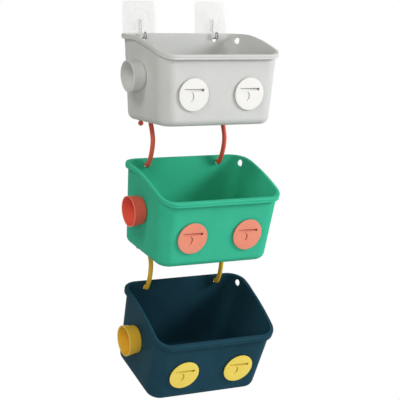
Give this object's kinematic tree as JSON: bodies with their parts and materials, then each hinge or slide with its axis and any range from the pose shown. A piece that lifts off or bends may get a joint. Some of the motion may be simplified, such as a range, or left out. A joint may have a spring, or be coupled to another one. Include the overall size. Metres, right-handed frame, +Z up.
{
  "type": "hanging bath toy organizer",
  "caption": "Wall-hung column of open moulded bins with round front discs and side cups, linked by rod hooks; bins and hooks swing, and the top bin hangs from clear adhesive wall hooks.",
  "frame": {"origin": "on the wall plane, midway between the centres of the two wall plates", "axes": "+Z up, +Y into the wall, +X to the right as seen from the front"},
  "size_m": [0.2359, 0.1965, 0.6253],
  "materials": {
    "gray_plastic": "satin",
    "green_plastic": "satin",
    "navy_plastic": "satin",
    "white_plastic": "satin",
    "coral_plastic": "satin",
    "yellow_plastic": "satin",
    "clear_plastic": "clear gloss",
    "adhesive_pad": "clear soft film",
    "steel_wire": "bright drawn wire"
  },
  "bodies": {
    "wall_hooks": {"wall_pad_left": "adhesive_pad", "wall_plate_left": "clear_plastic", "wire_hook_left": "steel_wire", "wall_pad_right": "adhesive_pad", "wall_plate_right": "clear_plastic", "wire_hook_right": "steel_wire"},
    "top_bin": {"gray_bin": "gray_plastic", "gray_side_cup": "gray_plastic", "white_disc_left": "white_plastic", "white_disc_right": "white_plastic"},
    "coral_hooks": {"coral_hook_left": "coral_plastic", "coral_hook_right": "coral_plastic"},
    "middle_bin": {"green_bin": "green_plastic", "coral_side_cup": "coral_plastic", "coral_disc_left": "coral_plastic", "coral_disc_right": "coral_plastic"},
    "yellow_hooks": {"yellow_hook_left": "yellow_plastic", "yellow_hook_right": "yellow_plastic"},
    "bottom_bin": {"navy_bin": "navy_plastic", "yellow_side_cup": "yellow_plastic", "yellow_disc_left": "yellow_plastic", "yellow_disc_right": "yellow_plastic"}
  },
  "joints": [
    {"name": "top_bin_swing", "type": "hinge", "parent": "wall_hooks", "child": "top_bin", "pos_m": [0, -0.0137, -0.0284], "axis": [-1, 0, 0], "range_deg": [0, 15]},
    {"name": "coral_hook_swing", "type": "hinge", "parent": "top_bin", "child": "coral_hooks", "pos_m": [0, -0.02826, -0.16279], "axis": [-1, 0, 0], "range_deg": [0, 12]},
    {"name": "middle_bin_swing", "type": "hinge", "parent": "coral_hooks", "child": "middle_bin", "pos_m": [0, -0.02504, -0.22661], "axis": [-1, 0, 0], "range_deg": [0, 15]},
    {"name": "yellow_hook_swing", "type": "hinge", "parent": "middle_bin", "child": "yellow_hooks", "pos_m": [0, -0.01769, -0.36159], "axis": [-1, 0, 0], "range_deg": [0, 12]},
    {"name": "bottom_bin_swing", "type": "hinge", "parent": "yellow_hooks", "child": "bottom_bin", "pos_m": [0, -0.01915, -0.42547], "axis": [-1, 0, 0], "range_deg": [0, 15]}
  ]
}
